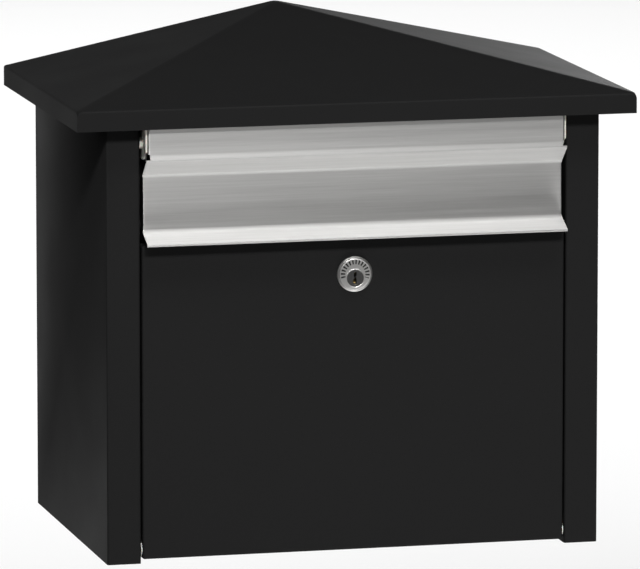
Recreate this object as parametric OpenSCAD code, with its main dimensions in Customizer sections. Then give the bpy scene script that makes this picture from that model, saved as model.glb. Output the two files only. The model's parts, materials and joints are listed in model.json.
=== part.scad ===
// Wall mounted mailbox with a hipped roof, a lifting steel mail flap and a
// drop-down front door held by a cam lock.
//
// +Z is up, +X is to the right seen from the front, and the wall is the plane y = 0.
// The origin is the centre of the four wall holes, on the wall side of the back panel.
// Heights called ..._z are measured from the foot of the box, and depths called
// ..._fwd are measured forward from the face of the two front columns.

/* [Box] */
// Width over the side panels
box_w = 376; // [360:2:400]
// Depth from the wall to the face of the front columns
box_d = 251; // [240:1:290]
// Height of the side panels
box_h = 337; // [325:1:360]
// Thickness of the painted steel sheet
sheet_t = 1.5; // [1.2:0.1:1.6]
// Width of each front column
column_w = 25.5; // [24:0.5:32]
// Depth of the columns' inner returns
column_return = 18; // [18:0.5:20]
// Width of the weld flanges inside the box
weld_flange = 12; // [8:1:14]

/* [Roof] */
// Width of the roof over its side fascias
roof_w = 425; // [415:1:440]
// How far the roof reaches past the columns' face
roof_overhang = 15.2; // [15:0.1:18]
// Height of the vertical fascia round the roof
fascia_h = 15; // [14:0.5:18]
// How far the fascia's lower edge hangs below the top of the box
fascia_drop = 11; // [10:0.5:12]
// Rise of the roof above its fascia
roof_rise = 44; // [40:1:60]
// Distance of the roof's peak from the wall
peak_inset = 8; // [2:1:20]

/* [Door] */
// Gap round the door
door_gap = 1.2; // [1:0.1:1.4]
// Height of the door's lower edge
door_low_z = 3; // [3:0.1:3.2]
// Distance of the door's upper edge below the top of the box
door_top_drop = 99; // [98:1:104]
// Depth of the door's side flanges
door_flange = 14.2; // [14:0.1:14.2]
// Radius of the door's hinge pins
door_pin_r = 2.5; // [2:0.1:2.6]
// Largest opening angle of the door in degrees
door_open = 100; // [90:1:100]

/* [Mail slot and flap] */
// Width of the mail slot
slot_w = 300; // [250:2:304]
// Height of the mail slot
slot_h = 44; // [35:1:44]
// Thickness of the stainless flap
flap_t = 1; // [0.8:0.1:1.2]
// Width of the flap's lower part
flap_w = 320; // [318:0.5:320]
// Width of the flap's visor and ears
visor_w = 317.4; // [316:0.2:318]
// Radius of the flap's hinge pins
flap_pin_r = 2; // [1.8:0.1:2.2]

/* [Lock] */
// Radius of the lock's face
lock_face_r = 13.3; // [12.5:0.1:14]
// Height of the lock's face above the door
lock_face_h = 3; // [2:0.1:4]
// Radius of the lock's threaded body
lock_body_r = 9.5; // [9.5:0.1:10]
// Length of the lock's body behind the door's face
lock_body_l = 25.4; // [25.4:0.1:26.5]
// Radius of the plug that the key turns
plug_r = 6.35; // [6:0.05:6.5]
// Distance of the plug's axis below the centre of the lock's face
plug_drop = 2.8; // [2.5:0.1:2.9]
// Reach of the cam from the plug's axis
cam_reach = 42; // [40:1:46]

/* [Wall mounting] */
// Distance between the wall holes, side to side
hole_spacing_x = 254; // [200:1:300]
// Distance between the wall holes, up and down
hole_spacing_z = 190.5; // [150:0.5:200]
// Radius of the wall holes
hole_r = 3.55; // [2.5:0.05:4.5]
// Height of the middle of the wall holes
hole_mid_z = 165; // [150:1:175]

/* [Hidden] */
$fn = 64;

run_gap = 0.05;   // radial clearance of everything that turns
rest_gap = 0.3;   // gap between a moving piece and what it rests on
fit_gap = 0.3;    // gap between sheets that are welded where they meet
eps = 1;          // how far a cutter runs past a face

black = [0.12, 0.12, 0.12];
steel = [0.74, 0.74, 0.73];
zinc = [0.68, 0.69, 0.70];
nickel = [0.80, 0.80, 0.79];
nylon = [0.90, 0.89, 0.85];
rubber = [0.10, 0.10, 0.10];

// Depths forward of the columns' face turned into y
function at_y(fwd) = -box_d - fwd;

// Columns and door
box_in = box_w / 2 - sheet_t;                  // inner face of a side panel
column_in = box_w / 2 - column_w;              // inner edge of a column
door_half = column_in - door_gap;              // half the door's width
door_top_z = box_h - door_top_drop;
door_pin_fwd = -7;
door_pin_z = 10;
door_lip = 13;                                 // depth of the door's top and bottom flanges
stop_w = 9;                                    // width of the door stops on the columns
stop_low_z = 24;
stop_top_z = door_top_z - 2;

// Floor: its underside stops the door's bottom flange when the door is fully open
flange_back = door_pin_fwd + door_lip;
flange_low = door_pin_z - door_low_z;
floor_z = door_pin_z + flange_back * sin(door_open) + flange_low * -cos(door_open) + rest_gap;
floor_tongue = door_half - sheet_t - 0.5;      // half width between the door's flanges
floor_tongue_fwd = 1.5 - door_lip;             // front edge of that tongue
floor_front_fwd = -column_return - 0.5;        // front edge beside it

// Header behind the flap
header_fwd = -21.5;
header_low_z = door_top_z + 1.5;
header_top_z = box_h - sheet_t;
slot_top_drop = 35;                            // of the slot below the top of the box
slot_top_z = box_h - slot_top_drop;
slot_low_z = slot_top_z - slot_h;

// Flap outline, forward of the columns and down from the top of the box
flap_pin_fwd = -6;
flap_pin_z = box_h - 23;
visor_top_z = box_h - 7;
lip_edge = [14.4, box_h - 96.6];
flap_foot = [-2.0, box_h - 89.5];
flap_head = [-3.0, box_h - 47.5];
visor_tip = [11.5, box_h - 35.2];
visor_foot = [9.5, box_h - 31];
visor_top = [9.5, visor_top_z];
hem_w = 5;                                     // width of the folded hem along the lip
ear_back = -14;                                // rear edge of the flap's ears
ear_relief = [1.7, 6.5];                       // width and height of the relief beside an ear
ear_relief_x = visor_w / 2 - 1.4;              // outer edge of that relief
return_back = -12;                             // rear edge of the flap's side returns

// Flap and door hardware
pin_head_r = 4;
pin_head_h = 1.5;
flap_bush_r = flap_pin_r + 1;
flap_bush_flange_r = 4.5;
flap_pad_t = 1.2;                              // thickness of the bushing's flange on the ear
flap_pad_inset = 1.4;                          // of the flange inside the ear's outline
door_bush_r = door_pin_r + 1;
door_bush_flange_r = 5.5;
door_bush_flange = 0.8;
bush_tail = 1;                                 // length of a bushing's sleeve inside its sheet
bumper_r = 4;
bumper_barb = 1.5;                             // thickness of a bumper's barb behind the header
bumper_x = flap_w / 2 - 2.5;
bumper_z = box_h - 85;
door_bumper_r = 3.4;
door_bumper_h = 2;
door_bumper_x = column_in - 3.7;
door_bumper_z = door_top_z - 13;

// Roof
fascia_z = box_h - fascia_drop;                // lower edge of the fascia
eave_z = fascia_z + fascia_h;                  // where the slopes start
peak_z = eave_z + roof_rise;
roof_d = box_d + roof_overhang;
side_slope = roof_rise / (roof_w / 2);
front_slope = roof_rise / (roof_d - peak_inset);
top_flange = 15;                               // width of the side panels' top flanges
bracket_x = box_in - top_flange + 0.5;         // upright leg of a roof bracket
bracket_front = -200;
bracket_back = -25;
screw_x = box_in - 7.5;
screw_y = [-180, -45];
screw_r = 2.5;
screw_hole_r = 2.75;
screw_head_r = 4.75;
screw_head_h = 2.8;
screw_l = 7.5;
nut_r = 4.6;
nut_h = 3.6;

// Lock
lock_drop = 27;                                // of the lock's centre below the door's top edge
lock_z = door_top_z - lock_drop;
plug_z = lock_z - plug_drop;
plug_face_fwd = lock_face_h - 0.6;
recess_w = 0.8;                                // width of the recess round the plug's face
body_flat = 8.25;                              // half distance across the body's flats
body_gap = 0.1;                                // gap round the body in the door's hole
lock_nut_r = 13.9;
lock_nut_h = 3.2;
cam_t = 2;
cam_gap = 0.3;
cam_back = lock_body_l + cam_gap + cam_t;      // depth of the cam's rear face
tail_half = 3;                                 // half width of the plug's square tail
cam_screw_r = 1.9;
cam_screw_head_r = 4.5;
cam_screw_head_h = 2.5;
cam_screw_l = 8;
keyway_w = 2;
keyway_h = 9;
keyway_l = 21;
wafer_count = 5;
wafer_t = 0.9;
wafer_w = 5;
wafer_h = 9.6;
wafer_pitch = 3;
wafer_first = 4;                               // depth of the first wafer behind the plug's face

// ---- helpers ----

// Everything is drawn with the foot of the box at z = 0 and put at the origin here
module placed() {
    translate([0, 0, -hole_mid_z]) children();
}

// Normal to the right of the stretch from a to b
function right_of(a, b) = [(b[1] - a[1]) / norm(b - a), (a[0] - b[0]) / norm(b - a)];

// Point i of a path moved by t to its right, with mitred corners
function side_point(path, i, t) =
    i == 0 ? path[0] + t * right_of(path[0], path[1]) :
    i == len(path) - 1 ? path[i] + t * right_of(path[i - 1], path[i]) :
    let (a = right_of(path[i - 1], path[i]), b = right_of(path[i], path[i + 1]))
    path[i] + t * (a + b) / (1 + a * b);

// Section of a bent sheet whose outer face follows a path
module bent_sheet(path, t) {
    inner = [for (i = [len(path) - 1 : -1 : 0]) side_point(path, i, t)];
    polygon(concat(path, inner));
}

// A (y, z) section drawn out along X from x0 to x1
module along_x(x0, x1) {
    translate([x0, 0, 0]) rotate([90, 0, 90]) linear_extrude(x1 - x0) children();
}

// An (x, z) section drawn out along Y from y0 to y1
module along_y(y0, y1) {
    translate([0, y1, 0]) rotate([90, 0, 0]) linear_extrude(y1 - y0) children();
}

// A rod along X from x0 to x1 at depth fwd and height z
module rod_x(x0, x1, fwd, z, r) {
    translate([x0, at_y(fwd), z]) rotate([0, 90, 0]) cylinder(h = x1 - x0, r = r);
}

// A rod along Y from depth f0 to depth f1 at x and height z
module rod_y(f0, f1, x, z, r, sides = 64) {
    translate([x, at_y(f1), z]) rotate([-90, 0, 0]) cylinder(h = f1 - f0, r = r, $fn = sides);
}

module box_between(low, high) {
    translate(low) cube(high - low);
}

// Both sides of what is drawn for the right
module both_sides() {
    children();
    mirror([1, 0, 0]) children();
}

// ---- box ----

// Side panel with its column, door stop and top flange, drawn for the right side
module side_panel() {
    half = box_w / 2;
    plan = [
        [half, 0], [half, at_y(0)], [column_in, at_y(0)], [column_in, at_y(-column_return)]
    ];
    difference() {
        union() {
            linear_extrude(box_h) bent_sheet(plan, sheet_t);
            // door stop on the column's return
            box_between(
                [column_in + sheet_t - stop_w, at_y(sheet_t - column_return), stop_low_z],
                [column_in + sheet_t, at_y(-column_return), stop_top_z]
            );
            // top flange that carries the roof
            box_between(
                [box_in - top_flange, at_y(-sheet_t), box_h - sheet_t],
                [box_in, 0, box_h]
            );
        }
        rod_x(column_in - eps, column_in + sheet_t + eps, door_pin_fwd, door_pin_z, door_pin_r);
        rod_x(column_in - eps, column_in + sheet_t + eps, flap_pin_fwd, flap_pin_z, flap_pin_r);
        for (y = screw_y) {
            translate([screw_x, y, box_h - sheet_t - eps])
                cylinder(h = sheet_t + 2 * eps, r = screw_hole_r);
        }
    }
}

module right_side_panel() {
    color(black) placed() side_panel();
}

module left_side_panel() {
    color(black) placed() mirror([1, 0, 0]) side_panel();
}

module back_panel() {
    color(black) placed() difference() {
        union() {
            box_between([-box_in, -sheet_t, 0], [box_in, 0, header_top_z]);
            both_sides() box_between(
                [box_in - sheet_t, -sheet_t - weld_flange, floor_z + sheet_t + fit_gap],
                [box_in, -sheet_t, header_top_z]
            );
            box_between(
                [-box_in, -sheet_t - weld_flange, header_top_z - sheet_t],
                [box_in, -sheet_t, header_top_z]
            );
        }
        for (x = [-1, 1], z = [-1, 1]) {
            translate([x * hole_spacing_x / 2, -sheet_t - eps, hole_mid_z + z * hole_spacing_z / 2])
                rotate([-90, 0, 0]) cylinder(h = sheet_t + 2 * eps, r = hole_r);
        }
    }
}

module floor_pan() {
    back_y = -sheet_t;
    front_y = at_y(floor_front_fwd);
    color(black) placed() union() {
        box_between([-box_in, front_y, floor_z], [box_in, back_y, floor_z + sheet_t]);
        // tongue that reaches between the door's side flanges
        box_between(
            [-floor_tongue, at_y(floor_tongue_fwd), floor_z],
            [floor_tongue, front_y + eps, floor_z + sheet_t]
        );
        both_sides() box_between(
            [box_in - sheet_t, front_y, floor_z - weld_flange],
            [box_in, back_y, floor_z + sheet_t]
        );
        box_between(
            [-box_in, back_y - sheet_t, floor_z - weld_flange],
            [box_in, back_y, floor_z + sheet_t]
        );
    }
}

module front_header() {
    front_y = at_y(header_fwd);
    back_y = front_y + sheet_t;
    color(black) placed() difference() {
        union() {
            box_between([-box_in, front_y, header_low_z], [box_in, back_y, header_top_z]);
            both_sides() box_between(
                [box_in - sheet_t, back_y, header_low_z],
                [box_in, back_y + weld_flange, header_top_z]
            );
            box_between(
                [-box_in, back_y, header_top_z - sheet_t],
                [box_in, back_y + weld_flange, header_top_z]
            );
        }
        box_between(
            [-slot_w / 2, front_y - eps, slot_low_z],
            [slot_w / 2, back_y + eps, slot_top_z]
        );
        both_sides() rod_y(header_fwd - sheet_t - eps, header_fwd + eps, bumper_x, bumper_z, bumper_r / 2);
    }
}

// ---- roof ----

// Hipped block of the roof, smaller all round by the sheet thickness where inset is 1
module roof_block(inset) {
    t = inset * sheet_t;
    half = roof_w / 2 - t;
    // the slopes move down by their own vertical thickness
    side_drop = t * sqrt(1 + side_slope * side_slope);
    front_drop = t * sqrt(1 + front_slope * front_slope);
    low_z = fascia_z - inset * eps;
    back_y = -t;
    side_eave_z = eave_z + t * side_slope - side_drop;
    front_eave_z = eave_z + t * front_slope - front_drop;
    intersection() {
        along_y(-roof_d + t, back_y) polygon([
            [-half, low_z], [half, low_z], [half, side_eave_z],
            [0, peak_z - side_drop], [-half, side_eave_z]
        ]);
        along_x(-half, half) polygon([
            [-roof_d + t, low_z], [back_y, low_z], [back_y, peak_z + eps],
            [-peak_inset + eps / front_slope, peak_z - front_drop + eps],
            [-roof_d + t, front_eave_z]
        ]);
    }
}

module roof_cap() {
    color(black) placed() difference() {
        roof_block(0);
        roof_block(1);
        // the box stands between the rear edges of the roof
        box_between(
            [-box_w / 2 - fit_gap, -sheet_t - eps, fascia_z - eps],
            [box_w / 2 + fit_gap, eps, box_h + fit_gap]
        );
    }
}

// Angle on the side panel's top flange that the roof is welded to, for the right side
module roof_bracket() {
    leg_top = eave_z + (roof_w / 2 - bracket_x - sheet_t) * side_slope
        - sheet_t * sqrt(1 + side_slope * side_slope);
    difference() {
        union() {
            box_between([bracket_x, bracket_front, box_h], [box_in, bracket_back, box_h + sheet_t]);
            box_between([bracket_x, bracket_front, box_h], [bracket_x + sheet_t, bracket_back, leg_top]);
        }
        for (y = screw_y) {
            translate([screw_x, y, box_h - eps]) cylinder(h = sheet_t + 2 * eps, r = screw_hole_r);
        }
    }
}

module roof_bracket_right() {
    color(black) placed() roof_bracket();
}

module roof_bracket_left() {
    color(black) placed() mirror([1, 0, 0]) roof_bracket();
}

module roof_screws() {
    head_z = box_h - sheet_t;
    color(zinc) placed() both_sides() for (y = screw_y) {
        translate([screw_x, y, head_z]) cylinder(h = screw_l, r = screw_r);
        translate([screw_x, y, head_z - screw_head_h]) rotate_extrude() polygon([
            [0, 0.6], [1.6, 0.6], [1.6, 0], [screw_head_r - 1, 0], [screw_head_r, 1],
            [screw_head_r, screw_head_h], [0, screw_head_h]
        ]);
    }
}

module roof_nuts() {
    color(zinc) placed() both_sides() for (y = screw_y) {
        translate([screw_x, y, box_h + sheet_t]) difference() {
            cylinder(h = nut_h, r = nut_r, $fn = 6);
            translate([0, 0, -eps]) cylinder(h = nut_h + 2 * eps, r = screw_r);
        }
    }
}

// ---- mail flap ----

function yz(p) = [at_y(p[0]), p[1]];

// Ear at each end of the visor, from the top of its fold round to its foot
ear_outline = [
    visor_top, [0, visor_top_z], [ear_back, flap_pin_z + 7], [ear_back, flap_pin_z - 13.5],
    [visor_tip[0] - 2.5, visor_tip[1] - 0.2]
];

module mail_flap() {
    lip_dir = (flap_foot - lip_edge) / norm(flap_foot - lip_edge);
    lower = [for (p = [lip_edge, flap_foot, flap_head, visor_tip]) yz(p)];
    upper = [for (p = [flap_head, visor_tip, visor_foot, visor_top]) yz(p)];
    // the hem lies under the lip
    lip_under = flap_t * [lip_dir[1], -lip_dir[0]];
    hem = [for (p = [lip_edge, lip_edge + hem_w * lip_dir]) yz(p - lip_under)];
    ear = concat(ear_outline, [visor_tip, visor_foot]);
    side_return = [
        flap_foot + [-0.6, 0], flap_head + [-0.6, 2], [return_back, flap_head[1] + 4],
        [return_back, flap_foot[1] + 3], [return_back + 3, flap_foot[1] - 1.5]
    ];
    ear_half = visor_w / 2;
    relief = [
        [ear_relief_x - ear_relief[0], visor_top_z + eps], [ear_relief_x, visor_top_z + eps],
        [ear_relief_x, visor_top_z - ear_relief[1]]
    ];
    color(steel) placed() difference() {
        union() {
            along_x(-flap_w / 2, flap_w / 2) bent_sheet(lower, flap_t);
            along_x(-ear_half, ear_half) bent_sheet(upper, flap_t);
            along_x(-flap_w / 2, flap_w / 2) bent_sheet(hem, flap_t);
            both_sides() along_x(ear_half - flap_t, ear_half) polygon([for (p = ear) yz(p)]);
            both_sides() along_x(flap_w / 2 - flap_t, flap_w / 2)
                polygon([for (p = side_return) yz(p)]);
        }
        both_sides() rod_x(ear_half - flap_t - eps, ear_half + eps, flap_pin_fwd, flap_pin_z, flap_bush_r);
        both_sides() along_y(at_y(visor_foot[0] + eps), at_y(visor_foot[0] - flap_t - eps))
            polygon(relief);
    }
}

// Headed pin riveted through a column's return, for the right side
module hinge_pin(fwd, z, r, inner_x) {
    outer_x = column_in + sheet_t;
    rod_x(inner_x, inner_x + pin_head_h, fwd, z, pin_head_r);
    rod_x(inner_x + pin_head_h, outer_x, fwd, z, r);
    rod_x(outer_x, outer_x + pin_head_h, fwd, z, pin_head_r);
}

module flap_pin() {
    inner_x = visor_w / 2 - flap_t - bush_tail - rest_gap - pin_head_h;
    hinge_pin(flap_pin_fwd, flap_pin_z, flap_pin_r, inner_x);
}

module flap_pin_right() {
    color(zinc) placed() flap_pin();
}

module flap_pin_left() {
    color(zinc) placed() mirror([1, 0, 0]) flap_pin();
}

module flap_bushings() {
    ear_in = visor_w / 2 - flap_t;
    color(nylon) placed() both_sides() difference() {
        union() {
            rod_x(ear_in - bush_tail, visor_w / 2, flap_pin_fwd, flap_pin_z, flap_bush_r);
            // flat flange over the outside of the ear
            along_x(visor_w / 2, visor_w / 2 + flap_pad_t) offset(delta = -flap_pad_inset)
                polygon([for (p = concat(ear_outline, [visor_foot])) yz(p)]);
            rod_x(visor_w / 2, column_in - rest_gap, flap_pin_fwd, flap_pin_z, flap_bush_flange_r);
        }
        rod_x(ear_in - bush_tail - eps, column_in + eps, flap_pin_fwd, flap_pin_z, flap_pin_r + run_gap);
    }
}

module flap_bumpers() {
    back_fwd = header_fwd - sheet_t;
    color(rubber) placed() both_sides() {
        rod_y(header_fwd, return_back - rest_gap, bumper_x, bumper_z, bumper_r);
        rod_y(back_fwd, header_fwd, bumper_x, bumper_z, bumper_r / 2);
        rod_y(back_fwd - bumper_barb, back_fwd, bumper_x, bumper_z, bumper_r - 0.8);
    }
}

// ---- door ----

// The lock's body seen from the front: a circle with two upright flats
module body_section(r, flat) {
    intersection() {
        circle(r = r);
        square([2 * flat, 4 * r], center = true);
    }
}

module door_panel() {
    front_y = at_y(0);
    inner = door_half - sheet_t;
    color(black) placed() difference() {
        union() {
            box_between(
                [-door_half, front_y, door_low_z],
                [door_half, front_y + sheet_t, door_top_z]
            );
            both_sides() box_between(
                [inner, front_y, door_low_z], [door_half, at_y(-door_flange), door_top_z]
            );
            for (z = [door_low_z, door_top_z - sheet_t]) {
                box_between([-door_half, front_y, z], [door_half, at_y(-door_lip), z + sheet_t]);
            }
        }
        both_sides() rod_x(inner - eps, door_half + eps, door_pin_fwd, door_pin_z, door_bush_r);
        translate([0, 0, lock_z]) along_y(front_y - eps, front_y + sheet_t + eps)
            body_section(lock_body_r + body_gap, body_flat + body_gap);
    }
}

module door_pin() {
    inner_x = door_half - sheet_t - bush_tail - rest_gap - pin_head_h;
    hinge_pin(door_pin_fwd, door_pin_z, door_pin_r, inner_x);
}

module door_pin_right() {
    color(zinc) placed() door_pin();
}

module door_pin_left() {
    color(zinc) placed() mirror([1, 0, 0]) door_pin();
}

module door_bushings() {
    inner = door_half - sheet_t;
    color(nylon) placed() both_sides() difference() {
        union() {
            rod_x(inner - bush_tail, door_half, door_pin_fwd, door_pin_z, door_bush_r);
            rod_x(door_half, door_half + door_bush_flange, door_pin_fwd, door_pin_z, door_bush_flange_r);
        }
        rod_x(inner - bush_tail - eps, column_in + eps, door_pin_fwd, door_pin_z, door_pin_r + run_gap);
    }
}

module door_bumpers() {
    stop_fwd = sheet_t - column_return;
    color(rubber) placed() both_sides()
        rod_y(stop_fwd, stop_fwd + door_bumper_h, door_bumper_x, door_bumper_z, door_bumper_r);
}

// ---- lock ----

module lock_housing() {
    h = lock_face_h;
    r = lock_face_r;
    color(nickel) placed() difference() {
        union() {
            translate([0, at_y(0), lock_z]) rotate([90, 0, 0]) rotate_extrude() polygon([
                [0, 0], [r, 0], [r, h * 0.45], [r - 1.6, h * 0.95], [r - 2.2, h], [0, h]
            ]);
            translate([0, 0, lock_z]) along_y(at_y(0), at_y(-lock_body_l))
                body_section(lock_body_r, body_flat);
        }
        rod_y(-lock_body_l - eps, h + eps, 0, plug_z, plug_r + run_gap);
        rod_y(plug_face_fwd, h + eps, 0, plug_z, plug_r + recess_w);
    }
}

module lock_nut() {
    color(zinc) placed() difference() {
        rod_y(-sheet_t - lock_nut_h, -sheet_t, 0, lock_z, lock_nut_r, 6);
        rod_y(-sheet_t - lock_nut_h - eps, -sheet_t + eps, 0, lock_z, lock_body_r);
    }
}

// Depth of wafer i behind the columns' face
function wafer_fwd(i) = plug_face_fwd - wafer_first - i * wafer_pitch;

module lock_plug() {
    color(nickel) placed() difference() {
        union() {
            rod_y(-lock_body_l, plug_face_fwd, 0, plug_z, plug_r);
            box_between(
                [-tail_half, at_y(-lock_body_l), plug_z - tail_half],
                [tail_half, at_y(-cam_back), plug_z + tail_half]
            );
        }
        // keyway
        box_between(
            [-keyway_w / 2, at_y(plug_face_fwd + eps), plug_z - keyway_h / 2],
            [keyway_w / 2, at_y(plug_face_fwd - keyway_l), plug_z + keyway_h / 2]
        );
        // slots that the wafers slide in
        for (i = [0 : wafer_count - 1]) {
            box_between(
                [-wafer_w / 2 - run_gap, at_y(wafer_fwd(i) + run_gap), plug_z - wafer_h / 2 - run_gap],
                [wafer_w / 2 + run_gap, at_y(wafer_fwd(i) - wafer_t - run_gap),
                    plug_z + wafer_h / 2 + run_gap]
            );
        }
        rod_y(-cam_back - eps, -cam_back + cam_screw_l, 0, plug_z, cam_screw_r);
    }
}

module lock_wafers() {
    color([0.78, 0.62, 0.30]) placed() for (i = [0 : wafer_count - 1]) {
        difference() {
            box_between(
                [-wafer_w / 2, at_y(wafer_fwd(i)), plug_z - wafer_h / 2],
                [wafer_w / 2, at_y(wafer_fwd(i) - wafer_t), plug_z + wafer_h / 2]
            );
            // window that the key passes through
            box_between(
                [-keyway_w / 2, at_y(wafer_fwd(i) + eps), plug_z - keyway_h / 2 + 1.5],
                [keyway_w / 2, at_y(wafer_fwd(i) - wafer_t - eps), plug_z + keyway_h / 2 - 1.5]
            );
        }
    }
}

// The cam points to the right, clear of the header, when the door is unlocked
module lock_cam() {
    root_r = 7.5;
    tip_half = 5;
    color(zinc) placed() difference() {
        translate([0, 0, plug_z]) along_y(at_y(-cam_back + cam_t), at_y(-cam_back)) union() {
            circle(r = root_r);
            polygon([
                [0, -root_r], [12, -root_r], [18, -tip_half], [cam_reach - tip_half, -tip_half],
                [cam_reach - tip_half, tip_half], [18, tip_half], [12, root_r], [0, root_r]
            ]);
            translate([cam_reach - tip_half, 0]) circle(r = tip_half);
        }
        box_between(
            [-tail_half, at_y(0), plug_z - tail_half], [tail_half, at_y(-cam_back - eps), plug_z + tail_half]
        );
    }
}

module cam_screw() {
    color(zinc) placed() {
        rod_y(-cam_back, -cam_back + cam_screw_l, 0, plug_z, cam_screw_r);
        difference() {
            rod_y(-cam_back - cam_screw_head_h, -cam_back, 0, plug_z, cam_screw_head_r);
            box_between(
                [-cam_screw_head_r - eps, at_y(-cam_back - cam_screw_head_h + 1), plug_z - 0.6],
                [cam_screw_head_r + eps, at_y(-cam_back - cam_screw_head_h - eps), plug_z + 0.6]
            );
        }
    }
}

left_side_panel();
right_side_panel();
back_panel();
floor_pan();
front_header();
roof_cap();
roof_bracket_left();
roof_bracket_right();
roof_screws();
roof_nuts();
mail_flap();
flap_pin_left();
flap_pin_right();
flap_bushings();
flap_bumpers();
door_panel();
door_pin_left();
door_pin_right();
door_bushings();
door_bumpers();
lock_housing();
lock_nut();
lock_plug();
lock_wafers();
lock_cam();
cam_screw();
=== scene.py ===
"""Wall mounted mailbox: visible pieces, finishes and a plain studio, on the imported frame."""

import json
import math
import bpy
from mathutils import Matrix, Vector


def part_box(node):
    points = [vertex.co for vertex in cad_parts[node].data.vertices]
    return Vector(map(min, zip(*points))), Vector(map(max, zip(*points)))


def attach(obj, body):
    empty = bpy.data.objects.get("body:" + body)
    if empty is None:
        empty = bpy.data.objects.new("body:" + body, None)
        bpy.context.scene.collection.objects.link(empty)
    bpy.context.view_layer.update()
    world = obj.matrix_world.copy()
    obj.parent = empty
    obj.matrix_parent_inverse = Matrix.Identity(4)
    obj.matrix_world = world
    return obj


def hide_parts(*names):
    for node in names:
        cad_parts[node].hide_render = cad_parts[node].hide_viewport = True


bl_info = {
    "name": "Wall mounted mailbox",
    "version": (1, 0, 0),
    "blender": (4, 5, 0),
    "location": "3D Viewport > Sidebar > Mailbox",
    "description": "A folded steel mailbox with a lifting flap, a drop-down door and a cam lock",
    "category": "Add Mesh",
}

import bmesh
import bpy
from bpy.props import FloatProperty, FloatVectorProperty, IntProperty, PointerProperty
from mathutils import Matrix, Vector

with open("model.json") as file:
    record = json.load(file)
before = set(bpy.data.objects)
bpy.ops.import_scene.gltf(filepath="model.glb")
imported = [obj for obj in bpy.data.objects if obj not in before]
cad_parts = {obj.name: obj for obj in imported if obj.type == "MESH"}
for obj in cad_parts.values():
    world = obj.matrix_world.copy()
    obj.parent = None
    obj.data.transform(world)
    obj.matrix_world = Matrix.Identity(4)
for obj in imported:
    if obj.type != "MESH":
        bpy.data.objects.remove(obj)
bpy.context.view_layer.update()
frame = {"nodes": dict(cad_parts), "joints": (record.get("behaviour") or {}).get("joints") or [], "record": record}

MM = 0.001
X = Vector((1, 0, 0))
Y = Vector((0, 1, 0))
Z = Vector((0, 0, 1))

# Places that the other sizes start from
SIDE_LOW, SIDE_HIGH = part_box("right_side_panel")
FRONT_Y = SIDE_LOW.y
FOOT_Z = SIDE_LOW.z
TOP_Z = SIDE_HIGH.z
HALF_W = SIDE_HIGH.x
JOINTS = {joint["name"]: joint for joint in frame["joints"]}

# Radii and half widths that more than one piece uses, in millimetres
FLAP_PIN = 2.0
DOOR_PIN = 2.5
ROOF_SCREW_HOLE = 2.75
BUMPER_NECK = 2.0
BUMPER_HEAD = 4.0
LOCK_THREAD = 9.5
TAIL_HALF = 3.0
RING_BAND = (7.7, 11.0)


def at(x, forward, up):
    """A point x to the right, forward of the columns' face and up from the foot, in millimetres."""
    return Vector((x * MM, FRONT_Y - forward * MM, FOOT_Z + up * MM))


# ---- sizes and colours that a user would change ----


def length(name, description, size):
    """A length that a user can change, given in millimetres."""
    return FloatProperty(name=name, description=description, default=size * MM, unit="LENGTH")


class SheetSizes(bpy.types.PropertyGroup):
    """Folded sheet metal of the box."""

    thickness: length("Sheet", "Thickness of the painted steel", 1.5)
    bend: length("Bend", "Outer radius of a fold", 1.7)
    edge: length("Edge", "Rounding of a cut edge by its paint", 0.3)
    column: length("Column", "Width of a front column", 25.5)
    column_return: length("Return", "Depth of a column's inner return", 16.5)
    top_flange: length("Top flange", "Width of the flange that carries the roof", 15)


class RoofSizes(bpy.types.PropertyGroup):
    """Hipped roof."""

    fascia: length("Fascia", "Height of the upright edge", 15)
    peak_inset: length("Peak inset", "Distance of the peak from the wall", 8)
    eave_bend: length("Eave fold", "Radius where a slope meets its fascia", 1.6)
    hip_bend: length("Hip fold", "Radius along the hips", 3.5)


class FlapSizes(bpy.types.PropertyGroup):
    """Stainless mail flap."""

    thickness: length("Sheet", "Thickness of the stainless sheet", 1)
    visor_half: length("Visor half width", "Half the width of the visor and its ears", 158.7)
    ear_fold: length("Ear fold", "Outer radius of the ears' folds", 1.3)
    foot_fold: length("Lip fold", "Rounding where the lip starts", 2.6)
    head_fold: length("Head fold", "Rounding above the plane", 2.0)
    tip_fold: length("Visor edge", "Rounding of the visor's front edge", 1.2)
    hem: length("Hem", "Width of the hem folded under the lip", 5)


class LockSizes(bpy.types.PropertyGroup):
    """Cam lock."""

    ring_marks: IntProperty(
        name="Ring divisions", description="Divisions round the lock's face", default=96, min=48
    )
    thread_pitch: length("Thread pitch", "Pitch of the lock body's thread", 1.2)
    recess: length("Rim", "Width of the rim round the plug", 0.8)


class Finishes(bpy.types.PropertyGroup):
    """Colours of the finishes."""

    coat: FloatVectorProperty(
        name="Powder coat", description="Colour of the paint", subtype="COLOR", size=3,
        default=(0.0135, 0.0135, 0.0136),
    )
    coat_roughness: FloatProperty(
        name="Coat roughness", description="Roughness of the paint", default=0.6, min=0, max=1
    )
    stainless: FloatVectorProperty(
        name="Stainless", description="Colour of the brushed steel", subtype="COLOR", size=3,
        default=(0.465, 0.461, 0.453),
    )
    stainless_roughness: FloatProperty(
        name="Stainless roughness", description="Roughness of the brushed steel", default=0.5,
        min=0, max=1,
    )


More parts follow.
